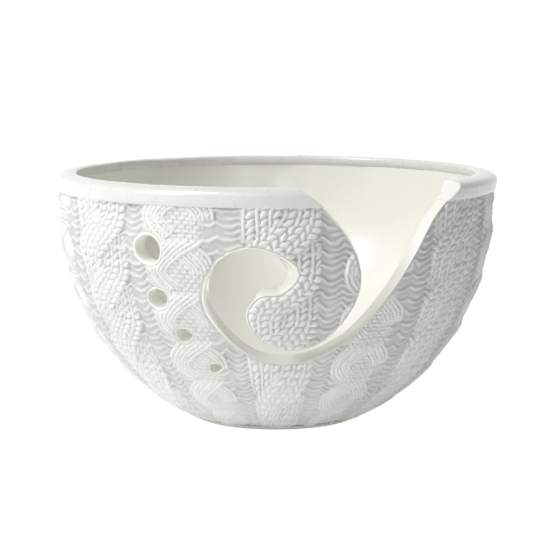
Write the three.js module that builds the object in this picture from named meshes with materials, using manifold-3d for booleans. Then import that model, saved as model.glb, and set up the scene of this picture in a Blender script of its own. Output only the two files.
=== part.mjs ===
// Yarn bowl: one slip-cast, cable-knit textured ceramic bowl with a swirl slot that guides the
// yarn, four needle holes, a smooth rolled rim, and glaze on everything except the knit face and foot.
// Millimetres, +Z up, origin at the centre of the foot, swirl slot facing -Y.

import * as THREE from "three";
import Module from "manifold-3d";

const wasm = await Module();
wasm.setup();

// ---- Driving dimensions ---------------------------------------------------------------------

const KNIT_RADIUS = 88; // outer radius of the wall at its widest, measured to the knit face
const HEIGHT = 100.5; // table to the top of the rim
const EQUATOR_Z = 88.7; // height at which the wall turns vertical
const FOOT_RADIUS = 33; // where the wall's curve meets the table
const WALL = 6.5; // clay and glaze together, outside to inside
const LINING = 1.2; // glazed skin on the inside of the wall
const LIP = 1.2; // glazed margin round the swirl slot and the needle holes
const GAP = 0.3; // clearance between neighbouring pieces

const BAND_HEIGHT = 7.2; // rolled rim above the knit
const BAND_PROUD = 1.2; // how far the rim stands out past the knit face
const BAND_BULGE = 0.9; // how far the rim swells over the inside of the wall

const FOOT_RING_HEIGHT = 1.6;
const FOOT_RING_WIDTH = 6;

const SEGMENTS = 72; // facets round the bowl
const PROFILE_STEPS = 11; // facets up the curved wall

// ---- Derived dimensions ---------------------------------------------------------------------

const WALL_DEPTH = EQUATOR_Z / Math.sqrt(1 - (FOOT_RADIUS / KNIT_RADIUS) ** 2); // ellipse semi-axis
const WALL_TOP = HEIGHT - BAND_HEIGHT - GAP;
const FLOOR_UNDERSIDE = FOOT_RING_HEIGHT + GAP;
const CLAY = WALL - LINING - GAP; // thickness of the bare clay behind the lining
const CENTRE = new THREE.Vector3(0, 0, EQUATOR_Z); // every cut through the wall points at this

// Radius at height z of the bowl's curve taken `depth` inside the knit face.
function wallRadius(z, depth = 0) {
  const drop = Math.max(0, EQUATOR_Z - z) / (WALL_DEPTH - depth);
  return (KNIT_RADIUS - depth) * Math.sqrt(Math.max(0, 1 - drop * drop));
}

// Point on the knit face: azimuth in degrees from -Y towards +X, and height.
function onWall([azimuth, z]) {
  const a = THREE.MathUtils.degToRad(azimuth);
  const r = wallRadius(z);
  return new THREE.Vector3(r * Math.sin(a), -r * Math.cos(a), z);
}

// Outward direction square to the knit face at a point on it.
function wallNormal(p) {
  const across = 1 / KNIT_RADIUS ** 2;
  const down = Math.min(0, p.z - EQUATOR_Z) / WALL_DEPTH ** 2;
  return new THREE.Vector3(p.x * across, p.y * across, down).normalize();
}

// ---- Solids ---------------------------------------------------------------------------------

function toSolid(positions, triangles) {
  return new wasm.Manifold(
    new wasm.Mesh({
      numProp: 3,
      vertProperties: Float32Array.from(positions),
      triVerts: Uint32Array.from(triangles),
    }),
  );
}

// Solid of revolution from a closed outline of [radius, z] points that runs up the outside first.
function turned(outline) {
  const positions = [];
  const triangles = [];
  const axial = (index) => outline[index][0] === 0;
  const vertexIds = outline.map(([r, z]) => {
    const first = positions.length / 3;
    const copies = r === 0 ? 1 : SEGMENTS;
    for (let i = 0; i < copies; i++) {
      const a = (2 * Math.PI * i) / SEGMENTS;
      positions.push(r * Math.cos(a), r * Math.sin(a), z);
    }
    return first;
  });
  const at = (index, i) => vertexIds[index] + (axial(index) ? 0 : i % SEGMENTS);
  for (let p = 0; p < outline.length; p++) {
    const q = (p + 1) % outline.length;
    for (let i = 0; i < SEGMENTS; i++) {
      if (!axial(p)) triangles.push(at(p, i), at(p, i + 1), at(q, i));
      if (!axial(q)) triangles.push(at(p, i + 1), at(q, i + 1), at(q, i));
    }
  }
  return toSolid(positions, triangles);
}

// Rising run of [radius, z] points along the wall's curve at one depth, between two heights.
function wallCurve(depth, bottom, top) {
  const angleAt = (z) => Math.acos((EQUATOR_Z - z) / (WALL_DEPTH - depth));
  const start = angleAt(bottom);
  const points = [];
  for (let i = 0; i <= PROFILE_STEPS; i++) {
    const angle = start + ((Math.PI / 2 - start) * i) / PROFILE_STEPS;
    const z = EQUATOR_Z - (WALL_DEPTH - depth) * Math.cos(angle);
    points.push([(KNIT_RADIUS - depth) * Math.sin(angle), z]);
  }
  return [...points, [KNIT_RADIUS - depth, top]];
}

// Bowl-shaped shell between two depths, closed by a flat floor across the bottom.
function shell(outerDepth, innerDepth, underside, floor) {
  const outside = wallCurve(outerDepth, underside, WALL_TOP);
  const inside = wallCurve(innerDepth, floor, WALL_TOP).reverse();
  return turned([[0, underside], ...outside, ...inside, [0, floor]]);
}

// ---- Cuts through the wall ------------------------------------------------------------------

// Cutter whose sides all point at CENTRE, so it crosses the wall squarely; `loop` lies on the wall.
function cutterThrough(loop) {
  const NEAR = 20;
  const FAR = KNIT_RADIUS + 8;
  const flat = loop.map((p) => {
    const d = p.clone().sub(CENTRE);
    return new THREE.Vector2(-d.x / d.y, -d.z / d.y);
  });
  if (THREE.ShapeUtils.isClockWise(flat)) flat.reverse();
  const n = flat.length;
  const positions = [];
  for (const reach of [FAR, NEAR]) {
    for (const v of flat) positions.push(v.x * reach, -reach, EQUATOR_Z + v.y * reach);
  }
  const triangles = [];
  for (const [a, b, c] of THREE.ShapeUtils.triangulateShape(flat, [])) {
    triangles.push(a, b, c, n + a, n + c, n + b);
  }
  for (let i = 0; i < n; i++) {
    const j = (i + 1) % n;
    triangles.push(i, n + i, j, j, n + i, n + j);
  }
  return toSolid(positions, triangles);
}

// The swirl slot: down from the rim on the bowl side, round the eye, and back up the hook.
// Each entry is [azimuth in degrees, height] on the knit face.
const BOWL_SIDE = [
  [57, 106],
  [50.5, 97],
  [42.5, 87.5],
  [36.2, 73],
  [30, 58.5],
  [20.5, 42],
  [7, 33.4],
  [-5.5, 35],
  [-14.5, 45.5],
  [-18.3, 60],
  [-14.5, 73],
  [-6.3, 78.4],
  [1, 75],
  [4.6, 69],
];
const HOOK_SIDE = [
  [1.5, 62],
  [-4.5, 60],
  [-7.9, 53],
  [-5, 43.5],
  [3, 38.5],
  [12, 41],
  [19, 51],
  [21.8, 64],
  [19.5, 77.5],
  [12, 92.3],
  [0, 106],
];
const SLOT_SAMPLES = 96;

// Closed loop of points along the slot's edge, moved `margin` into the wall.
function slotLoop(margin) {
  const curve = new THREE.CatmullRomCurve3([...BOWL_SIDE, ...HOOK_SIDE].map(onWall));
  const loop = [];
  for (let i = 0; i <= SLOT_SAMPLES; i++) {
    const p = curve.getPointAt(i / SLOT_SAMPLES);
    const along = curve.getTangentAt(i / SLOT_SAMPLES);
    const intoWall = along.cross(wallNormal(p)).normalize();
    loop.push(p.addScaledVector(intoWall, -margin));
  }
  return loop;
}

// The four needle holes, stepping down in size towards the foot.
const NEEDLE_HOLES = [
  { azimuth: -33.4, z: 76.5, diameter: 11.6 },
  { azimuth: -32.5, z: 57.5, diameter: 9 },
  { azimuth: -26.5, z: 43.5, diameter: 7.4 },
  { azimuth: -19.2, z: 30.3, diameter: 5.6 },
];
const HOLE_SIDES = 18;

function holeLoop({ azimuth, z, diameter }, margin) {
  const centre = onWall([azimuth, z]);
  const normal = wallNormal(centre);
  const sideways = new THREE.Vector3(0, 0, 1).cross(normal).normalize();
  const upwards = normal.clone().cross(sideways);
  const radius = diameter / 2 + margin;
  const loop = [];
  for (let i = 0; i < HOLE_SIDES; i++) {
    const a = (2 * Math.PI * i) / HOLE_SIDES;
    const p = centre.clone().addScaledVector(sideways, radius * Math.cos(a));
    loop.push(p.addScaledVector(upwards, radius * Math.sin(a)));
  }
  return loop;
}

// Slot and holes with their glazed margins: what the clay and the lining both leave open.
function pierce(solid) {
  let pierced = solid.subtract(cutterThrough(slotLoop(LIP + GAP)));
  for (const hole of NEEDLE_HOLES) {
    pierced = pierced.subtract(cutterThrough(holeLoop(hole, LIP + GAP)));
  }
  return pierced;
}

// ---- Pieces ---------------------------------------------------------------------------------

// Unglazed cast wall that carries the knit pattern on its outside.
function knitWall() {
  return pierce(shell(0, CLAY, FLOOR_UNDERSIDE, CLAY));
}

// Glaze inside the bowl, against the clay all over.
function glazedLining() {
  return pierce(shell(CLAY + GAP, WALL, CLAY + GAP, WALL));
}

// Rolled rim: upright lower facet, sloping upper facet, and a swelling over the inside.
function rimBand() {
  const bottom = WALL_TOP + GAP;
  const outer = KNIT_RADIUS + BAND_PROUD;
  const inner = KNIT_RADIUS - WALL;
  return turned([
    [outer - 0.4, bottom],
    [outer, bottom + 3.4],
    [outer - 0.5, bottom + 4.4],
    [outer - 2, HEIGHT - 0.9],
    [outer - 3, HEIGHT - 0.2],
    [outer - 4.2, HEIGHT],
    [inner + 1, HEIGHT - 0.2],
    [inner - BAND_BULGE + 0.3, HEIGHT - 1],
    [inner - BAND_BULGE, HEIGHT - 2],
    [inner, HEIGHT - 3.6],
    [inner, bottom],
  ]).subtract(cutterThrough(slotLoop(0)));
}

// Whole thickness of the wall, from which the glazed margins are taken.
const fullWall = shell(0, WALL, FLOOR_UNDERSIDE, WALL);

function marginRound(innerLoop, outerLoop) {
  return fullWall.intersect(cutterThrough(outerLoop)).subtract(cutterThrough(innerLoop));
}

function swirlCutLip() {
  return marginRound(slotLoop(0), slotLoop(LIP));
}

function needleHoleLip(hole) {
  return marginRound(holeLoop(hole, 0), holeLoop(hole, LIP));
}

// Bare clay ring the bowl stands on, carrying the wall's curve down to the table.
function footRing() {
  const inner = FOOT_RADIUS - FOOT_RING_WIDTH;
  return turned([
    [FOOT_RADIUS, 0],
    [wallRadius(FOOT_RING_HEIGHT), FOOT_RING_HEIGHT],
    [inner, FOOT_RING_HEIGHT],
    [inner, 0],
  ]);
}

// ---- Assembly -------------------------------------------------------------------------------

const BISQUE = { color: 0xf3f3f1, roughness: 0.85 };
const GLAZE = { color: 0xf1f0e6, roughness: 0.2 };
const BARE_FOOT = { color: 0xe9e6dd, roughness: 0.9 };

function addPiece(group, name, solid, look) {
  const { vertProperties, triVerts } = solid.getMesh();
  const geometry = new THREE.BufferGeometry();
  geometry.setAttribute("position", new THREE.BufferAttribute(vertProperties, 3));
  geometry.setIndex(new THREE.BufferAttribute(triVerts, 1));
  geometry.computeVertexNormals();
  const mesh = new THREE.Mesh(geometry, new THREE.MeshStandardMaterial(look));
  mesh.name = name;
  group.add(mesh);
}

const bowl = new THREE.Group();
addPiece(bowl, "knit_wall", knitWall(), BISQUE);
addPiece(bowl, "glazed_lining", glazedLining(), GLAZE);
addPiece(bowl, "rim_band", rimBand(), GLAZE);
addPiece(bowl, "swirl_cut_lip", swirlCutLip(), GLAZE);
NEEDLE_HOLES.forEach((hole, i) => {
  addPiece(bowl, `needle_hole_lip_${i + 1}`, needleHoleLip(hole), GLAZE);
});
addPiece(bowl, "foot_ring", footRing(), BARE_FOOT);

export default bowl;
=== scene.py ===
"""Looks of the yarn bowl: knit relief, glazed lining, rolled rim, slot and needle-hole lips, foot.

Lengths in the modelling code are millimetres and become metres in make_piece(). Azimuths are
degrees from -Y towards +X, and "down" is arc length down the wall from the rim's lower edge.
The studio at the end is in metres.
"""

import math
from collections import namedtuple

import bpy
import numpy as np
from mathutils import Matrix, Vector


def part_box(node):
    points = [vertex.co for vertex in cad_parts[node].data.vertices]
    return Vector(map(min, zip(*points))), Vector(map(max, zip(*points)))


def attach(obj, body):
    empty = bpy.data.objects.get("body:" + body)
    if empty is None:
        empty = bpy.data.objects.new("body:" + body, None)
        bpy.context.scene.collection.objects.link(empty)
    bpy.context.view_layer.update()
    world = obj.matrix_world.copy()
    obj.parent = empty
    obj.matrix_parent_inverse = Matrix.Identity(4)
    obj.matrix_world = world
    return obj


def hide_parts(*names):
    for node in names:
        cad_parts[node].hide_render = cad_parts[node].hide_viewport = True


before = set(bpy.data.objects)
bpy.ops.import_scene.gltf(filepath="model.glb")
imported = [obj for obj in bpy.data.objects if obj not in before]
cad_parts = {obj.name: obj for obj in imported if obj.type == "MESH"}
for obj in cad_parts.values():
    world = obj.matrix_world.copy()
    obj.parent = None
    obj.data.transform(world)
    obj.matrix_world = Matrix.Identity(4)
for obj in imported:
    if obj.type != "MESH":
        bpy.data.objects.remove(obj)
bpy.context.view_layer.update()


# ---- Dimensions -----------------------------------------------------------------------------

MM = 0.001
_, wall_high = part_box("knit_wall")
band_low, band_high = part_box("rim_band")
_, foot_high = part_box("foot_ring")

KNIT_RADIUS = wall_high.x / MM  # outer radius of the wall at its widest
BAND_RADIUS = band_high.x / MM
BAND_BOTTOM = band_low.z / MM
HEIGHT = band_high.z / MM
FOOT_TOP = foot_high.z / MM

EQUATOR_Z = 88.7  # the wall is upright above this height
FOOT_RADIUS = 33.0
FOOT_RING_WIDTH = 6.0
WALL = 6.5
BAND_BULGE = 1.0  # how far the rim bulges inwards past the lining

# Below EQUATOR_Z the knit face is an ellipsoid this deep, cut off by the table at FOOT_RADIUS.
WALL_DEPTH = EQUATOR_Z / math.sqrt(1 - (FOOT_RADIUS / KNIT_RADIUS) ** 2)
INSIDE_RADIUS = KNIT_RADIUS - WALL

# ---- Noise ----------------------------------------------------------------------------------


def smooth_noise(x, y, size, seed):
    """Random waves of about `size` mm, within roughly -1..1; x closes on itself round the bowl."""
    rng = np.random.RandomState(seed)
    total = np.zeros(np.broadcast(x, y).shape)
    waves = 12
    for _ in range(waves):
        pitch = size * rng.uniform(1.6, 4.0)
        heading = rng.uniform(0, math.pi)
        round_trips = round(2 * math.pi * KNIT_RADIUS * math.cos(heading) / pitch)
        phase = x * round_trips / KNIT_RADIUS + y * 2 * math.pi * math.sin(heading) / pitch
        total += np.sin(phase + rng.uniform(0, 2 * math.pi))
    return total * 0.9 / math.sqrt(waves)


def smoothstep(low, high, x):
    """0 below `low`, 1 above `high`, and a smooth ramp between."""
    t = np.clip((x - low) / (high - low), 0, 1)
    return t * t * (3 - 2 * t)


# ---- The wall's curve -----------------------------------------------------------------------


def _curve_table():
    """Arc length, radius, height and outward slope of the knit face, from the rim to the table."""
    foot_angle = math.acos(EQUATOR_Z / WALL_DEPTH)
    angle = np.linspace(math.pi / 2, foot_angle, 2000)
    radius = KNIT_RADIUS * np.sin(angle)
    z = EQUATOR_Z - WALL_DEPTH * np.cos(angle)
    step = np.hypot(np.diff(radius), np.diff(z))
    down = BAND_BOTTOM - EQUATOR_Z + np.concatenate([[0], np.cumsum(step)])
    normal_z = -np.cos(angle) / WALL_DEPTH
    normal_r = np.sin(angle) / KNIT_RADIUS
    length = np.hypot(normal_z, normal_r)
    return down, radius, z, normal_r / length, normal_z / length


CURVE_DOWN, CURVE_R, CURVE_Z, CURVE_NR, CURVE_NZ = _curve_table()
WALL_LENGTH = CURVE_DOWN[-1]


def curve_at(down, table):
    """Value of one of the CURVE_ tables at arc length `down`."""
    return np.interp(down, CURVE_DOWN, table)


def wall_frame(azimuth, down):
    """Point on the knit face and outward normal there, as arrays of (..., 3)."""
    a = np.radians(azimuth)
    upright = down < CURVE_DOWN[0]
    r = curve_at(down, CURVE_R)
    z = np.where(upright, BAND_BOTTOM - down, curve_at(down, CURVE_Z))
    nr, nz = curve_at(down, CURVE_NR), curve_at(down, CURVE_NZ)
    point = np.stack([r * np.sin(a), -r * np.cos(a), z], -1)
    normal = np.stack([nr * np.sin(a), -nr * np.cos(a), nz], -1)
    return point, normal


def down_at_height(z):
    """Arc length from the rim's lower edge to the height z on the knit face."""
    on_curve = np.interp(-np.asarray(z, float), -CURVE_Z, CURVE_DOWN)
    return np.where(np.asarray(z) > EQUATOR_Z, BAND_BOTTOM - np.asarray(z), on_curve)


# ---- Slot and needle holes ------------------------------------------------------------------

# Swirl slot, (azimuth, height) on the knit face: down the bowl side, round the eye, up the hook.
SLOT = [
    (57, 106),
    (50.5, 97),
    (42.5, 87.5),
    (36.2, 73),
    (30, 58.5),
    (20.5, 42),
    (7, 33.4),
    (-5.5, 35),
    (-14.5, 45.5),
    (-18.3, 60),
    (-14.5, 73),
    (-6.3, 78.4),
    (1, 75),
    (4.6, 69),
    (1.5, 62),
    (-4.5, 60),
    (-7.9, 53),
    (-5, 43.5),
    (3, 38.5),
    (12, 41),
    (19, 51),
    (21.8, 64),
    (19.5, 77.5),
    (12, 92.3),
    (0, 106),
]
EYE_TIP = (4.6, 24.4)  # (azimuth, down) of the eye's inner end
EYE_SIDE = (-17.3, 40.0)  # (azimuth, down) where the glazed margin is widest
# (azimuth, height, diameter, tallness and unevenness of the hand-cut edge, glazed margin)
NEEDLE_HOLES = [
    (-33.4, 76.5, 11.6, 0.9, 0.03, 0.9),
    (-32.3, 57.5, 9.2, 0.85, 0.05, 0.5),
    (-26.5, 43.5, 7.6, 0.75, 0.12, 0.35),
    (-19.2, 30.3, 5.6, 0.82, 0.12, 0.3),
]
LOOP_STEP = 0.35  # spacing of points along the cut edges


def _smooth_curve(points, step):
    """Centripetal Catmull-Rom curve through the points, resampled evenly."""
    p = np.array(points, float)
    p = np.vstack([2 * p[0] - p[1], p, 2 * p[-1] - p[-2]])
    out = []
    for i in range(1, len(p) - 2):
        knots = [0.0]
        for j in range(i - 1, i + 2):
            knots.append(knots[-1] + np.linalg.norm(p[j + 1] - p[j]) ** 0.5)
        t0, t1, t2, t3 = knots
        t = np.linspace(t1, t2, 40, endpoint=False)[:, None]
        a1 = (t1 - t) / (t1 - t0) * p[i - 1] + (t - t0) / (t1 - t0) * p[i]
        a2 = (t2 - t) / (t2 - t1) * p[i] + (t - t1) / (t2 - t1) * p[i + 1]
        a3 = (t3 - t) / (t3 - t2) * p[i + 1] + (t - t2) / (t3 - t2) * p[i + 2]
        b1 = (t2 - t) / (t2 - t0) * a1 + (t - t0) / (t2 - t0) * a2
        b2 = (t3 - t) / (t3 - t1) * a2 + (t - t1) / (t3 - t1) * a3
        out.append((t2 - t) / (t2 - t1) * b1 + (t - t1) / (t2 - t1) * b2)
    dense = np.vstack(out + [p[-2][None]])
    run = np.concatenate([[0], np.cumsum(np.linalg.norm(np.diff(dense, axis=0), axis=1))])
    even = np.linspace(0, run[-1], int(run[-1] / step) + 1)
    return np.stack([np.interp(even, run, dense[:, k]) for k in range(3)], -1)


def onto_wall(points):
    """(azimuth, down) of 3-D points near the knit face."""
    azimuth = np.degrees(np.arctan2(points[:, 0], -points[:, 1]))
    return azimuth, down_at_height(points[:, 2])


def edge_frame(points, closed):
    """Knit-face points along an edge with the outward normal and the direction into the clay."""
    surface, normal = wall_frame(*onto_wall(points))
    if closed:
        along = np.roll(surface, -1, 0) - np.roll(surface, 1, 0)
    else:
        along = np.gradient(surface, axis=0)
    into = np.cross(normal, along)
    into /= np.linalg.norm(into, axis=1)[:, None]
    return surface, normal, into


# A cut edge: points, frame, width of the glazed margin, and slant of the cut through the wall.
Edge = namedtuple("Edge", "surface normal into margin skew closed")


def nearness(points, place, reach, power=2):
    """1 at a place (azimuth, down) on the knit face, fading to 0 well beyond `reach` mm."""
    azimuth, down = place
    centre, _ = wall_frame(np.array([azimuth]), np.array([down]))
    away = np.linalg.norm(points - centre, axis=1)
    return np.exp(-((away / reach) ** power))


def slot_edge():
    """Edge of the swirl slot; round the eye's tip it is cut on a slant and has a wider margin."""
    azimuths, heights = np.array(SLOT, float).T
    corners, _ = wall_frame(azimuths, down_at_height(heights))
    surface, normal, into = edge_frame(_smooth_curve(corners, LOOP_STEP), closed=False)
    near_tip = nearness(surface, EYE_TIP, 6.5)
    round_tip = nearness(surface, EYE_TIP, 17, power=4)
    near_side = nearness(surface, EYE_SIDE, 11)
    margin = 0.2 + 0.4 * round_tip + 1.0 * near_tip + 1.4 * near_side
    skew = 0.8 * round_tip + 1.8 * near_tip
    return Edge(surface, normal, into, margin, skew, False)


def hole_edge(azimuth, height, diameter, tallness, unevenness, margin):
    """Edge of one needle hole."""
    centre, normal = wall_frame(np.array([azimuth]), down_at_height([height]))
    sideways = np.cross([0, 0, 1], normal[0])
    sideways /= np.linalg.norm(sideways)
    upwards = np.cross(normal[0], sideways)
    count = int(math.pi * diameter / LOOP_STEP)
    a = np.linspace(0, 2 * math.pi, count, endpoint=False)
    wobble = np.sin(2 * a + azimuth) + 0.7 * np.sin(3 * a - height)
    radius = diameter / 2 * (1 + unevenness * wobble)[:, None]
    across = np.cos(a)[:, None] * sideways
    ring = centre + radius * (across + tallness * np.sin(a)[:, None] * upwards)
    surface, normal, into = edge_frame(ring[::-1], closed=True)
    return Edge(surface, normal, into, np.full(count, margin), np.zeros(count), True)


def inner_loop(edge):
    """Where the cut comes out on the inside of the wall."""
    return edge.surface - edge.normal * WALL - edge.into * edge.skew[:, None]


slot = slot_edge()
holes = [hole_edge(*hole) for hole in NEEDLE_HOLES]


def inside_outline(azimuth, z, loop):
    """True where (azimuth, z) lies inside the closed outline of loop points."""
    a = np.degrees(np.arctan2(loop[:, 0], -loop[:, 1]))
    h = loop[:, 2]
    inside = np.zeros(azimuth.shape, bool)
    for a0, h0, a1, h1 in zip(a, h, np.roll(a, -1), np.roll(h, -1)):
        crosses = (h0 > z) != (h1 > z)
        if h0 != h1:
            inside ^= crosses & (azimuth < (a1 - a0) * (z - h0) / (h1 - h0) + a0)
    return inside


def clearance(point, azimuth, edges):
    """Distance into the clay from the nearest edge's margin, in mm; negative inside, at most 9.

    Each edge is a loop of points with the width of the margin at each point.
    """
    reach = 9.0
    batch = 20000
    distance = np.full(azimuth.shape, reach)
    for loop, margin in edges:
        low, high = loop.min(0) - reach, loop.max(0) + reach
        near = ((point > low) & (point < high)).all(-1)
        close = point[near].astype(np.float32)
        ends = loop.astype(np.float32)
        best = np.full(len(close), reach)
        for start in range(0, len(close), batch):
            part = close[start : start + batch]
            gap2 = (part * part).sum(1)[:, None] - 2 * part @ ends.T + (ends * ends).sum(1)
            gap = np.sqrt(np.maximum(gap2, 0)) - margin.astype(np.float32)
            best[start : start + batch] = np.minimum(gap.min(1), reach)
        best[inside_outline(azimuth[near], point[near][:, 2], loop)] = -reach
        distance[near] = np.minimum(distance[near], best)
    return distance


# ---- Knit relief ----------------------------------------------------------------------------

REPEATS = 7  # pattern repeats round the bowl: braid, purl, medallion, purl
REPEAT_ANGLE = 360 / REPEATS
BRAID_AZIMUTH = 1.3  # middle of the braid that the slot's hook is cut from
DEGREE = math.radians(1) * KNIT_RADIUS  # mm of knit face per degree at the rim

# Two strands of a cable lie side by side `start` mm below the rim. They swing `sway` mm either
# way of its middle, are 2 * `half` mm wide and change sides over `turn_length` mm. A strand
# rises by `lift` where it crosses on top, is rounded by `crown` and is let `sunk` mm into
# the ground. The strands of a `weaving` cable also bend where they pass under.
Cable = namedtuple("Cable", "start sway half turn_length lift crown sunk weaving")
BRAID = Cable(
    start=2.4,
    sway=5.1 * DEGREE,
    half=4.9 * DEGREE,
    turn_length=21.5,
    lift=0.5,
    crown=0.5,
    sunk=0.8,
    weaving=False,
)
MEDALLION = Cable(
    start=4.2,
    sway=6.6 * DEGREE,
    half=3.15 * DEGREE,
    turn_length=22.0,
    lift=0.3,
    crown=0.25,
    sunk=0.85,
    weaving=True,
)

CROSSING = 20.5  # mm from one cable crossing to the next
HIGHEST = 2.5  # a strand is highest this many mm past the middle of its crossing
FADE_OUT, FADE_IN = (-11, -8), (-3, 1)  # mm past a crossing where a worn strand goes and returns
WALE = BRAID.half * 2 / 3  # width of one column of knit stitches
COURSE = 3.05  # height of one row of stitches, away from the crossings
CROWDING = 0.1  # more rows of stitches per mm at a crossing
CORD = MEDALLION.half / 3
BEAD = 1.8  # length of one turn of a twisted cord
PEBBLE_WIDTH, PEBBLE_HEIGHT = 3.1, 1.7
PURL_ROW = 2.6
PURL_PANEL = 5.6 * DEGREE  # width of the panel between braid and medallion
GROUND = -1.25  # grooves of the purl ground
MIDDLE_LEVEL = -0.35  # the relief is strengthened and weakened about this level


def dome(x, power=2.0):
    """1 at x = 0 falling to 0 at x = -1 and x = 1."""
    return np.sqrt(np.clip(1 - np.abs(x) ** power, 0, 1))


def sawtooth(x):
    """Position within the unit step that holds x, from -1 to 1."""
    return 2 * (x - np.floor(x)) - 1


def leaves(v, row, strand, middle, tilt, length, width):
    """Pointed stitch legs in columns a wale apart, tilted clockwise from the strand's run."""
    course, slope, _ = strand
    across = (v - middle) / WALE
    across = (across - np.round(across)) * WALE
    highest = np.zeros(v.shape)
    for step in (-1, 0, 1):
        along = (row - np.round(row) + step) * course + across * slope
        p = across * np.sin(tilt) - along * np.cos(tilt)
        q = across * np.cos(tilt) + along * np.sin(tilt)
        taper = np.clip(1 - (2 * p / length) ** 2, 0.001, 1)
        highest = np.maximum(highest, dome(2 * q / (width * taper)) * taper**0.3)
    return highest


def stitches(v, row, strand):
    """Knit stitches: a plump leg on the right of each V and a slimmer one on its left."""
    bend = strand[2]
    right_tilt = np.radians(42 - 19 * bend)
    left_tilt = np.radians(-8 - 19 * bend)
    plump = leaves(v, row, strand, 0.25 * WALE, right_tilt, 4.7 + 0.2 * bend, 2.2 - 0.3 * bend)
    slim = leaves(v, row + 0.15, strand, -0.24 * WALE, left_tilt, 4.8 - 0.6 * bend, 1.9)
    return np.maximum(plump, 0.9 * slim)


def cords(v, row, strand):
    """Cords lying side by side, every other one twisted."""
    course, slope, _ = strand
    across = sawtooth(v / CORD)
    twisted = np.floor(v / CORD) % 2 == 1
    along = row * course + across * CORD / 2 * (slope + 0.35)
    bead = dome(0.95 * sawtooth(along / BEAD))
    return 1.1 * dome(across) ** 0.9 * np.where(twisted, 0.2 + 0.85 * bead, 0.9)


def basket(x, rows):
    """Small woven pebbles inside the medallion's eyes."""
    row = rows / PEBBLE_HEIGHT
    shift = 0.5 * (np.floor(row) % 2)
    return 0.65 * dome(sawtooth(row)) * dome(sawtooth(x / PEBBLE_WIDTH + shift), 3)


def cable_relief(x, down, cable, surface, worn=None):
    """Strands that each cross from right to left, over the one before, every CROSSING mm.

    `surface` gives a strand's stitches. The height is -inf beside the strands. `worn` is a
    relief that takes over where a strand starts to cross, when that part is faint.
    """
    rows = down - cable.start
    cycle = rows / CROSSING
    part = cycle - np.floor(cycle)
    crowded = rows / 2 - CROSSING / (4 * math.pi) * np.sin(2 * math.pi * cycle)
    row = rows / COURSE + CROWDING * crowded
    row_rate = 1 / COURSE + CROWDING * np.sin(math.pi * part) ** 2
    steepest = math.pi * cable.sway / cable.turn_length
    highest = np.full(x.shape, -np.inf)
    for crossing in (-1, 1, 0):  # the strand that crosses on top here comes last
        past = (part - 0.5 + crossing) * CROSSING
        under = cable.weaving & (np.abs(past) > CROSSING / 2)
        turned = np.where(under, np.sign(past) * CROSSING - past, past)
        swing = math.pi * np.clip(turned / cable.turn_length, -0.5, 0.5)
        slope = -steepest * np.cos(swing) * np.where(under, -1, 1)
        run = np.sqrt(1 + slope**2)
        v = (x + cable.sway * np.sin(swing)) / run
        level = cable.lift * np.cos(math.pi * np.clip((past - HIGHEST) / CROSSING, -1, 1))
        level = level + cable.crown * (dome(v / cable.half, 2.6) - 1)
        strand = (run / row_rate, slope, (slope / steepest) ** 2)
        height = level + surface(v, row, strand) - cable.sunk
        if worn is not None:
            faint = smoothstep(*FADE_OUT, past) * (1 - smoothstep(*FADE_IN, past))
            height = height * (1 - faint) + worn * faint
        there = (np.abs(v) < cable.half) & (np.abs(past) < CROSSING)
        if cable.weaving:
            highest = np.where(there, height, highest)
        else:
            highest = np.maximum(highest, np.where(there, height, -np.inf))
    return highest


def purl_rows(x, rows):
    """Wavy purl ridges; every other one fades out towards the panel's left side."""
    angle = 2 * math.pi * x / PURL_PANEL
    row = (rows - 0.8 * np.cos(angle - 0.6 * np.sin(angle))) / PURL_ROW
    short = np.floor(row) % 2 == 1
    fade = np.where(short, smoothstep(-0.3, 0.1, x / PURL_PANEL), 1)
    return 0.8 * (0.5 - 0.5 * np.cos(2 * math.pi * row)) ** 1.2 * (0.2 + 0.8 * fade)


def hand_made(x, down, seed):
    """Small shifts that keep the knitting from being perfectly regular."""
    return 0.25 * smooth_noise(x, down, 6.0, seed) + 0.07 * smooth_noise(x, down, 1.6, seed + 1)


def off_middle(azimuth, middle):
    """Distance in mm from the nearest repeat of the panel whose middle is at `middle`."""
    turn = (azimuth - middle) / REPEAT_ANGLE
    return (turn - np.round(turn)) * REPEAT_ANGLE * DEGREE


def panel_ground(x, down, x_braid, x_medallion, rows):
    """The low knitting between the strands: purl waves, and pebbles in the medallion's eyes."""
    panel_middle = BRAID.sway + BRAID.half + PURL_PANEL / 2
    wavy = rows + 0.45 * smooth_noise(x, down, 3.0, 7)
    purl = GROUND + purl_rows(x_braid - np.sign(x_braid) * panel_middle, wavy)
    pebbles = GROUND + 0.25 + basket(x_medallion, rows)
    border = 2.5
    outside_eye = smoothstep(MEDALLION.sway - border, MEDALLION.sway + border, np.abs(x_medallion))
    return purl * outside_eye + pebbles * (1 - outside_eye)


def knit_relief(azimuth, down):
    """Height of the cast knit pattern over the knit face, in mm."""
    x = azimuth * DEGREE
    shift = hand_made(x, down, 1)
    x_braid = off_middle(azimuth, BRAID_AZIMUTH) + shift
    x_medallion = off_middle(azimuth, BRAID_AZIMUTH + REPEAT_ANGLE / 2) + shift
    rows = down + hand_made(x, down, 3)
    slack = 7.2 * (np.clip(down - 53, 0, None) / 28) ** 1.5  # the braid's turns lengthen low down

    ground = panel_ground(x, down, x_braid, x_medallion, rows)
    braid = cable_relief(x_braid, rows - slack, BRAID, stitches)
    medallion = cable_relief(x_medallion, rows, MEDALLION, cords, ground + 0.02)
    relief = np.maximum(ground, np.maximum(braid, medallion))
    strength = 1 - 0.45 * smoothstep(66, 108, down)  # shallower towards the foot
    strength *= 1 + 0.15 * smooth_noise(x, down, 8.0, 5)
    return MIDDLE_LEVEL + (relief - MIDDLE_LEVEL) * strength


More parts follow.
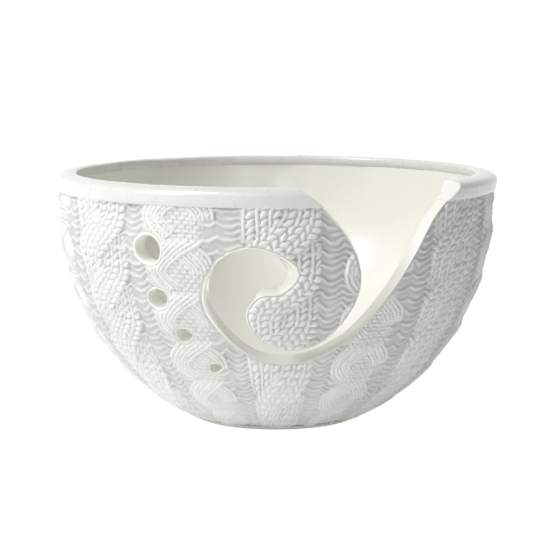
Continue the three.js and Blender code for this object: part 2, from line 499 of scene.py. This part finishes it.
# ---- Mesh helpers ---------------------------------------------------------------------------


def grid_faces(rows, columns, wrap=False):
    """Quads of a rows x columns grid of vertices, stored row by row."""
    i, j = np.meshgrid(np.arange(rows - 1), np.arange(columns - (not wrap)), indexing="ij")
    k = (j + 1) % columns
    upper, lower = i * columns, (i + 1) * columns
    return np.stack([upper + j, lower + j, lower + k, upper + k], -1).reshape(-1, 4)


def make_piece(name, vertices, quads, material, uv=None, normals=None, relief=None):
    """Smooth-shaded mesh object from arrays; vertices in mm, uv and relief one per vertex."""
    used, quads = np.unique(quads, return_inverse=True)
    quads = quads.reshape(-1, 4)
    mesh = bpy.data.meshes.new(name)
    mesh.vertices.add(len(used))
    mesh.vertices.foreach_set("co", (vertices[used] * MM).astype(np.float32).ravel())
    mesh.loops.add(quads.size)
    mesh.loops.foreach_set("vertex_index", quads.ravel().astype(np.int32))
    mesh.polygons.add(len(quads))
    mesh.polygons.foreach_set("loop_start", np.arange(0, quads.size, 4, dtype=np.int32))
    mesh.polygons.foreach_set("use_smooth", np.ones(len(quads), bool))
    mesh.update(calc_edges=True)
    if uv is not None:
        layer = mesh.uv_layers.new(name="OFBake")
        layer.uv.foreach_set("vector", uv[used][quads.ravel()].astype(np.float32).ravel())
    if relief is not None:
        attribute = mesh.attributes.new("relief", "FLOAT", "POINT")
        attribute.data.foreach_set("value", relief[used].astype(np.float32))
    if normals is not None:
        mesh.normals_split_custom_set_from_vertices(normals[used])
    mesh.materials.append(material)
    piece = bpy.data.objects.new(name, mesh)
    bpy.context.scene.collection.objects.link(piece)
    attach(piece, "root")
    return piece


def grid_uv(rows, columns):
    """Texture coordinates that spread a grid over the square, just inside its border."""
    v, u = np.meshgrid(
        np.linspace(0.99, 0.01, rows), np.linspace(0.01, 0.99, columns), indexing="ij"
    )
    return np.stack([u, v], -1).reshape(-1, 2)


def grid_normals(points):
    """Outward normals of a (rows, columns, 3) grid whose first and last columns coincide."""
    across = np.gradient(points, axis=1)
    down = np.gradient(points, axis=0)
    normals = np.cross(down, across)
    normals /= np.maximum(np.linalg.norm(normals, axis=-1, keepdims=True), 1e-9)
    normals[:, 0] = normals[:, -1] = (normals[:, 0] + normals[:, -1]) / 2
    return normals


def turned_points(radius, azimuth, z):
    """Points at a radius and azimuth round the bowl's axis."""
    a = np.radians(azimuth)
    return np.stack([radius * np.sin(a), -radius * np.cos(a), z + 0 * a], -1)


# ---- Materials ------------------------------------------------------------------------------


def new_material(name):
    """New material, its node tree and its Principled shader."""
    material = bpy.data.materials.new(name)
    material.use_nodes = True
    tree = material.node_tree
    return material, tree, tree.nodes["Principled BSDF"]


def noise(tree, scale, detail, roughness=0.5):
    """Noise in the piece's own coordinates; `scale` is in waves per metre."""
    coordinates = tree.nodes.new("ShaderNodeTexCoord")
    node = tree.nodes.new("ShaderNodeTexNoise")
    node.inputs["Scale"].default_value = scale
    node.inputs["Detail"].default_value = detail
    node.inputs["Roughness"].default_value = roughness
    tree.links.new(coordinates.outputs["Object"], node.inputs["Vector"])
    return node.outputs["Fac"]


def remap(tree, value, from_low, from_high, to_low, to_high):
    """Carry a value from one range linearly to another, stopping at its ends."""
    node = tree.nodes.new("ShaderNodeMapRange")
    node.inputs["From Min"].default_value = from_low
    node.inputs["From Max"].default_value = from_high
    node.inputs["To Min"].default_value = to_low
    node.inputs["To Max"].default_value = to_high
    tree.links.new(value, node.inputs["Value"])
    return node.outputs["Result"]


def blend_colours(tree, factor, first, second):
    """The first colour where the factor is 0, the second where it is 1."""
    node = tree.nodes.new("ShaderNodeMix")
    node.data_type = "RGBA"
    node.inputs["A"].default_value = (*first, 1)
    node.inputs["B"].default_value = (*second, 1)
    tree.links.new(factor, node.inputs["Factor"])
    return node.outputs["Result"]


def add_bump(tree, shader, height, distance, strength):
    """Bump the shader's normal; the distance is in metres."""
    node = tree.nodes.new("ShaderNodeBump")
    node.inputs["Distance"].default_value = distance
    node.inputs["Strength"].default_value = strength
    tree.links.new(height, node.inputs["Height"])
    tree.links.new(node.outputs["Normal"], shader.inputs["Normal"])


def bisque_material():
    """Unglazed cast porcelain: fine tooth, with painted shade that greys the grooves."""
    material, tree, shader = new_material("bisque")
    relief = tree.nodes.new("ShaderNodeAttribute")
    relief.attribute_name = "relief"
    # painted shade: the lower the relief, the greyer the colour, standing in for occlusion in the
    # grooves
    groove_shade = remap(tree, relief.outputs["Fac"], -1.1, -0.1, 0, 1)
    colour = blend_colours(tree, groove_shade, (0.63, 0.635, 0.615), (0.86, 0.865, 0.845))
    tree.links.new(colour, shader.inputs["Base Color"])
    rough = remap(tree, noise(tree, 900, 3), 0.3, 0.7, 0.5, 0.72)
    tree.links.new(rough, shader.inputs["Roughness"])
    add_bump(tree, shader, noise(tree, 2600, 4, 0.65), 0.00012, 0.45)
    return material


def glaze_material(name, pale, deep, roughness):
    """Glossy glaze: colour pools slightly, surface has a faint orange peel."""
    material, tree, shader = new_material(name)
    colour = blend_colours(tree, remap(tree, noise(tree, 45, 3), 0.35, 0.65, 0, 1), pale, deep)
    tree.links.new(colour, shader.inputs["Base Color"])
    rough = remap(tree, noise(tree, 160, 2), 0.3, 0.7, roughness * 0.8, roughness * 1.3)
    tree.links.new(rough, shader.inputs["Roughness"])
    shader.inputs["IOR"].default_value = 1.52
    shader.inputs["Coat Weight"].default_value = 0.4
    shader.inputs["Coat Roughness"].default_value = 0.06
    add_bump(tree, shader, noise(tree, 120, 1), 0.0001, 0.2)
    return material


def bare_clay_material():
    """Wiped and sanded clay with fine specks."""
    material, tree, shader = new_material("bare_foot")
    speck = remap(tree, noise(tree, 1400, 4), 0.45, 0.7, 0, 1)
    colour = blend_colours(tree, speck, (0.78, 0.76, 0.71), (0.70, 0.675, 0.62))
    tree.links.new(colour, shader.inputs["Base Color"])
    rough = remap(tree, noise(tree, 400, 3), 0.3, 0.7, 0.75, 0.95)
    tree.links.new(rough, shader.inputs["Roughness"])
    add_bump(tree, shader, noise(tree, 3000, 4), 0.00015, 0.5)
    return material


bisque = bisque_material()
ivory_glaze = glaze_material("ivory_glaze", (0.93, 0.927, 0.87), (0.915, 0.91, 0.845), 0.12)
white_glaze = glaze_material("white_glaze", (0.765, 0.775, 0.75), (0.76, 0.768, 0.74), 0.3)
bare_clay = bare_clay_material()

# ---- Knit wall ------------------------------------------------------------------------------

SECTOR_COLUMNS = 224  # grid columns in each of the REPEATS sectors
WALL_ROWS = 324
UNDER_RIM = 1.0  # the wall runs this far up behind the rim's lower edge
BASE_LEVEL = -0.4  # level of the plain strip above the foot
CUT_LEVEL = -0.95  # level of the knit where it meets the glazed margins
CUT_RAMP = 1.1  # width over which the knit sinks to that level


def all_round(columns):
    """Azimuths of a grid's columns; the last one closes on the first."""
    return -180 + 360 * np.arange(columns + 1) / columns


def knit_wall():
    """Seven sector meshes of one relief, which keeps each small enough to export whole."""
    down = np.linspace(-UNDER_RIM, down_at_height(FOOT_TOP), WALL_ROWS)
    down_grid, azimuth_grid = np.meshgrid(
        down, all_round(REPEATS * SECTOR_COLUMNS), indexing="ij"
    )
    relief = knit_relief(azimuth_grid, down_grid)
    point, normal = wall_frame(azimuth_grid, down_grid)
    margin = clearance(point, azimuth_grid, [(e.surface, e.margin) for e in (slot, *holes)])
    edge = smoothstep(0.0, CUT_RAMP, margin)
    base = smoothstep(WALL_LENGTH - 6, WALL_LENGTH - 1, down_grid)
    relief = relief * (1 - base) + BASE_LEVEL * base
    relief = relief * edge + CUT_LEVEL * (1 - edge)
    relief[:, -1] = relief[:, 0]
    surface = point + normal * relief[..., None]
    normals = grid_normals(surface)
    for sector in range(REPEATS):
        span = slice(sector * SECTOR_COLUMNS, (sector + 1) * SECTOR_COLUMNS + 1)
        quads = grid_faces(WALL_ROWS, SECTOR_COLUMNS + 1)
        clear = margin[:, span].ravel() > -0.25
        quads = quads[clear[quads].all(1)]
        piece = make_piece(
            f"knit_wall_{sector + 1}",
            surface[:, span].reshape(-1, 3),
            quads,
            bisque,
            grid_uv(WALL_ROWS, SECTOR_COLUMNS + 1),
            normals[:, span].reshape(-1, 3),
            relief[:, span].ravel(),
        )
        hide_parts("knit_wall")


# ---- Glazed lining --------------------------------------------------------------------------


LINING_COLUMNS = 560
LINING_TOP = HEIGHT - 3.6  # the rim covers the lining above this
SLOT_INNER_MARGIN, HOLE_INNER_MARGIN = 2.1, 1.3  # the lining stops this far from the cuts
FLOOR_FILLET = 3.0


def lining_curve():
    """Radii and heights down the inside, with an easy fillet into the floor."""
    angle = np.linspace(math.pi / 2, 0.001, 150)
    radius = INSIDE_RADIUS * np.sin(angle)
    bowl_z = EQUATOR_Z - (WALL_DEPTH - WALL) * np.cos(angle)
    floor_z = WALL + FLOOR_FILLET * np.log1p(np.exp((bowl_z - WALL) / FLOOR_FILLET))
    z = np.where(bowl_z > 30, bowl_z, floor_z)
    upright = np.linspace(LINING_TOP, EQUATOR_Z + 1, 5)
    radius = np.concatenate([np.full(len(upright), INSIDE_RADIUS), radius])
    return radius, np.concatenate([upright, z])


def lining():
    """Inside of the bowl, hand-smoothed, with faint dents away from the rim and the cuts."""
    radius, z = lining_curve()
    z_grid, azimuth_grid = np.meshgrid(z, all_round(LINING_COLUMNS), indexing="ij")
    radius_grid = np.repeat(radius[:, None], LINING_COLUMNS + 1, 1)
    x = azimuth_grid * DEGREE
    inner_edges = [(inner_loop(slot), np.full(len(slot.margin), SLOT_INNER_MARGIN))]
    for hole in holes:
        inner_edges.append((inner_loop(hole), np.full(len(hole.margin), HOLE_INNER_MARGIN)))
    smooth = turned_points(radius_grid, azimuth_grid, z_grid)
    margin = clearance(smooth, azimuth_grid, inner_edges)
    dent = 0.25 * smooth_noise(x, z_grid, 34.0, 11) + 0.08 * smooth_noise(x, z_grid, 13.0, 12)
    dent = dent * smoothstep(8, 40, radius_grid) * (1 - smoothstep(80, 92, z_grid))
    surface = turned_points(radius_grid + dent * smoothstep(1, 6, margin), azimuth_grid, z_grid)
    surface[:, -1] = surface[:, 0]
    rows, columns = z_grid.shape
    quads = grid_faces(rows, columns)[:, ::-1]
    clear = margin.ravel() > 0
    quads = quads[clear[quads].all(1)]
    piece = make_piece(
        "glazed_lining",
        surface.reshape(-1, 3),
        quads,
        ivory_glaze,
        grid_uv(rows, columns),
        -grid_normals(surface).reshape(-1, 3),
    )
    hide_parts("glazed_lining")


# ---- Lips round the cuts --------------------------------------------------------------------


LIP_LEVEL = -0.5  # the glazed margin lies a little below the knit
LIP_TOP = BAND_BOTTOM + 4.2  # the slot's lip ends inside the rim's end
OUTER_ROUNDING = 1.4  # of the cuts' outer edges, where the margin leaves room for it
SLOT_INNER_ROUNDING, HOLE_INNER_ROUNDING = 1.6, 0.8


def lip_section(edge, inner_rounding):
    """(into the clay, out of the wall) from the outer margin, through the cut, to the inside."""
    ones = np.ones(len(edge.margin))
    rounding = np.minimum(0.8 * edge.margin, OUTER_ROUNDING)
    section = [
        (edge.margin + 1.0, LIP_LEVEL - 1.3),
        (edge.margin + 0.4, LIP_LEVEL - 0.6),
        (edge.margin, LIP_LEVEL - 0.12),
        (0.5 * (edge.margin + rounding), LIP_LEVEL),
    ]
    for t in np.radians(np.linspace(90, 180, 7)):
        section.append((rounding * (1 + math.cos(t)), LIP_LEVEL - rounding * (1 - math.sin(t))))
    top, bottom = LIP_LEVEL - rounding, inner_rounding - WALL
    for part in (0.2, 0.4, 0.6, 0.8):
        section.append((-part * edge.skew, top + part * (bottom - top)))
    for t in np.radians(np.linspace(180, 270, 7)):
        inwards = inner_rounding * (1 + math.cos(t)) - edge.skew
        section.append((inwards, bottom + inner_rounding * math.sin(t)))
    section.append((inner_rounding + 0.9 - edge.skew, -WALL - 0.05))
    section.append((inner_rounding + 1.7 - edge.skew, -WALL + 0.2))
    into = np.array([p * ones for p, _ in section])
    out = np.array([q * ones for _, q in section])
    return into, out


def sweep_lip(name, edge, inner_rounding):
    """Glazed lip along a cut edge."""
    into, out = lip_section(edge, inner_rounding)
    points = edge.surface + edge.into * into[..., None] + edge.normal * out[..., None]
    rows, columns = points.shape[:2]
    quads = grid_faces(rows, columns, wrap=edge.closed)
    piece = make_piece(name, points.reshape(-1, 3), quads, ivory_glaze, grid_uv(rows, columns))
    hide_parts(name)


def lips():
    """The slot's lip, up into the rim, and the lips of the needle holes."""
    keep = slot.surface[:, 2] < LIP_TOP
    below_rim = Edge(*(part[keep] for part in slot[:-1]), closed=False)
    sweep_lip("swirl_cut_lip", below_rim, SLOT_INNER_ROUNDING)
    for number, edge in enumerate(holes, 1):
        sweep_lip(f"needle_hole_lip_{number}", edge, HOLE_INNER_ROUNDING)


# ---- Rolled rim -----------------------------------------------------------------------------

RIM_STATIONS = 900  # cross-sections along the rim
RIM_FILLET = 0.3
RIM_PROUD = 0.03  # degrees by which the rim's ends cover the lip's


def rounded_outline(corners, spacing=0.45):
    """Closed, evenly spaced outline; its (x, y, rounding) corners are rounded by that distance."""
    outline = []
    points = np.array(corners, float)
    for before, corner, after in zip(np.roll(points, 1, 0), points, np.roll(points, -1, 0)):
        p, r = corner[:2], corner[2]
        start = p + (before[:2] - p) * r / np.linalg.norm(before[:2] - p)
        end = p + (after[:2] - p) * r / np.linalg.norm(after[:2] - p)
        for t in np.linspace(0, 1, 12):
            outline.append((1 - t) ** 2 * start + 2 * t * (1 - t) * p + t**2 * end)
    outline = np.array(outline + outline[:1])
    run = np.concatenate([[0], np.cumsum(np.linalg.norm(np.diff(outline, axis=0), axis=1))])
    count = 2 * round(run[-1] / spacing / 2)  # even, so that a fan of quads can cap the outline
    even = np.linspace(0, run[-1], count, endpoint=False)
    return np.stack([np.interp(even, run, outline[:, k]) for k in range(2)], -1)


def band_profile():
    """Closed section of the rim as (radius, z), going round from the inside's lower edge."""
    outer, inner = BAND_RADIUS, INSIDE_RADIUS
    corners = [
        (inner + 0.5, BAND_BOTTOM + 0.2, 0.2),
        (outer - 0.9, BAND_BOTTOM - 0.1, 0.4),
        (outer - 0.35, BAND_BOTTOM + 1.4, 0.8),
        (outer + 0.1, HEIGHT - 2.5, 0.9),
        (outer - 1.4, HEIGHT - 0.9, 0.9),
        (inner + 2.0, HEIGHT + 0.05, 1.5),
        (inner - BAND_BULGE, HEIGHT - 0.4, 0.6),
        (inner - BAND_BULGE, HEIGHT - 2.9, 0.9),
        (inner + 0.4, HEIGHT - 4.7, 0.6),
    ]
    return rounded_outline(corners)


def rim_ends(heights):
    """Azimuths where the rim starts and finishes, at each height, along the slot's edge."""
    loop = slot.surface
    azimuth = np.degrees(np.arctan2(loop[:, 0], -loop[:, 1]))
    top = loop[:, 2] > BAND_BOTTOM - 2
    bowl = top & (azimuth > 30)
    hook = top & (azimuth < 20)
    start = np.interp(heights, loop[bowl][::-1, 2], azimuth[bowl][::-1]) - RIM_PROUD
    finish = 360 + RIM_PROUD + np.interp(heights, loop[hook][:, 2], azimuth[hook])
    return start, finish


def rim_stations(length):
    """Distances along the rim of its cross-sections, closer together round the end fillets."""
    rounding = RIM_FILLET * (1 - np.cos(np.radians(np.linspace(0, 90, 7))))
    between = np.linspace(RIM_FILLET, length - RIM_FILLET, RIM_STATIONS)[1:-1]
    return np.concatenate([rounding, between, length - rounding[::-1]])


def rim_dent(azimuth, heights):
    """Unevenness of the rolled clay, which fades out towards the rim's lower edge."""
    x = azimuth * DEGREE
    dent = 0.16 * smooth_noise(x, heights, 16.0, 21) + 0.07 * smooth_noise(x, heights, 6.0, 22)
    return dent * smoothstep(BAND_BOTTOM + 2, BAND_BOTTOM + 5, heights)


def rim_rings():
    """Cross-sections of the rim from end to end, drawn in a little round the end fillets."""
    section = band_profile()
    heights = section[:, 1]
    start, finish = rim_ends(heights)
    length = (finish - start).mean() * DEGREE
    spine = section.mean(0)
    offset = section - spine
    size = np.linalg.norm(offset, axis=1, keepdims=True)
    rings = []
    for along in rim_stations(length):
        end = min(along, length - along)
        inset = RIM_FILLET - math.sqrt(max(0, RIM_FILLET**2 - max(0, RIM_FILLET - end) ** 2))
        shape = spine + offset * (1 - inset / size)
        azimuth = start + (finish - start) * along / length
        dent = rim_dent(azimuth, heights)
        rings.append(turned_points(shape[:, 0] + dent, azimuth, shape[:, 1] + 0.5 * dent))
    return np.array(rings)


def rim_band():
    """Rolled rim; its ends follow the slot's edge and are closed with flat caps."""
    rings = rim_rings()
    rows, columns = rings.shape[:2]
    vertices = rings.reshape(-1, 3)
    quads = [grid_faces(rows, columns, wrap=True)]
    for ring, order in ((rings[0], 1), (rings[-1], -1)):
        first = len(vertices)
        vertices = np.vstack([vertices, ring, ring.mean(0)])
        j = np.arange(0, columns, 2)
        fan = np.stack([0 * j + columns, j, j + 1, (j + 2) % columns], -1)
        quads.append((fan + first)[:, ::order])
    uv = np.vstack([grid_uv(rows, columns), np.full((2 * columns + 2, 2), 0.5)])
    piece = make_piece("rim_band", vertices, np.vstack(quads), white_glaze, uv)
    piece.data.materials.append(ivory_glaze)
    for face in piece.data.polygons[-columns:]:
        face.material_index = 1
    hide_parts("rim_band")


# ---- Foot -----------------------------------------------------------------------------------

FOOT_COLUMNS = 240


def foot():
    """Foot ring with wiped edges, and the slightly hollow base inside it."""
    inner = FOOT_RADIUS - FOOT_RING_WIDTH
    corners = [
        (curve_at(down_at_height(FOOT_TOP + 0.6), CURVE_R) - 0.5, 0, FOOT_TOP + 0.6),
        (curve_at(down_at_height(0.5), CURVE_R) - 0.4, 0, 0.6),
        (FOOT_RADIUS - 0.4, 0, 0.08),
        (FOOT_RADIUS - 1.2, 0, 0),
        (inner + 1.0, 0, 0),
        (inner + 0.2, 0, 0.3),
        (inner - 0.6, 0, FOOT_TOP * 0.8),
        (inner - 2.5, 0, FOOT_TOP + 0.2),
        (inner / 2, 0, FOOT_TOP + 0.5),
        (0.05, 0, FOOT_TOP + 0.6),
    ]
    section = _smooth_curve(corners, 0.5)[:, [0, 2]]
    azimuth = np.arange(FOOT_COLUMNS + 1) * 360 / FOOT_COLUMNS
    points = turned_points(section[:, :1], azimuth, section[:, 1:])
    rows, columns = points.shape[:2]
    quads = grid_faces(rows, columns)
    piece = make_piece(
        "foot_ring", points.reshape(-1, 3), quads, bare_clay, grid_uv(rows, columns)
    )
    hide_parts("foot_ring")


# ---- Studio ---------------------------------------------------------------------------------


def aim(thing, target):
    """Turn a light or camera to face the target."""
    thing.rotation_euler = (Vector(target) - thing.location).to_track_quat("-Z", "Y").to_euler()


def add_light(name, location, target, size, power):
    """Round white area light; the size is its diameter."""
    data = bpy.data.lights.new(name, "AREA")
    data.shape = "DISK"
    data.size = size
    data.energy = power
    light = bpy.data.objects.new(name, data)
    light.location = location
    bpy.context.scene.collection.objects.link(light)
    aim(light, target)


def seen_level(tree, lighting, seen):
    """Strength of the pale surround: `seen` by the camera and in gloss, otherwise `lighting`."""
    path = tree.nodes.new("ShaderNodeLightPath")
    either = tree.nodes.new("ShaderNodeMath")
    either.operation = "MAXIMUM"
    tree.links.new(path.outputs["Is Camera Ray"], either.inputs[0])
    tree.links.new(path.outputs["Is Glossy Ray"], either.inputs[1])
    return remap(tree, either.outputs["Value"], 0, 1, lighting, seen)


def add_floor():
    """Plain pale floor."""
    mesh = bpy.data.meshes.new("floor")
    mesh.from_pydata([(-6, -6, 0), (6, -6, 0), (6, 6, 0), (-6, 6, 0)], [], [(0, 1, 2, 3)])
    material, tree, shader = new_material("floor")
    tone = blend_colours(tree, noise(tree, 3, 2), (0.93, 0.93, 0.93), (0.95, 0.95, 0.95))
    tree.links.new(tone, shader.inputs["Base Color"])
    shader.inputs["Roughness"].default_value = 0.9
    shader.inputs["Emission Color"].default_value = (1, 1, 1, 1)
    tree.links.new(seen_level(tree, 0.19, 0.72), shader.inputs["Emission Strength"])
    mesh.materials.append(material)
    floor = bpy.data.objects.new("floor", mesh)
    bpy.context.scene.collection.objects.link(floor)


def add_world(strength):
    """Even white surround."""
    world = bpy.data.worlds.new("studio")
    world.use_nodes = True
    tree = world.node_tree
    background = tree.nodes["Background"]
    background.inputs["Color"].default_value = (1, 1, 1, 1)
    tree.links.new(seen_level(tree, strength, 1.1), background.inputs["Strength"])
    bpy.context.scene.world = world


def add_camera():
    """Reference view, from just above the rim."""
    data = bpy.data.cameras.new("camera")
    data.sensor_width = 36
    data.lens = 127.4
    camera = bpy.data.objects.new("camera", data)
    camera.location = (0.0, -0.7931, 0.1622)
    bpy.context.scene.collection.objects.link(camera)
    aim(camera, (0.0004, 0, 0.0566))
    bpy.context.scene.camera = camera


def studio():
    """Soft light from the upper left, pale floor, camera."""
    middle = (0, 0, 0.05)
    add_light("key", (-0.95, -0.6, 0.7), middle, 0.4, 5.6)
    add_light("high_key", (-0.6, -0.3, 1.1), middle, 0.5, 6.7)
    add_light("front_fill", (-0.5, -1.2, 0.5), middle, 0.6, 0.6)
    add_world(0.225)
    add_floor()
    add_camera()
    bpy.context.scene.view_settings.view_transform = "Standard"


knit_wall()
lining()
lips()
rim_band()
foot()
studio()
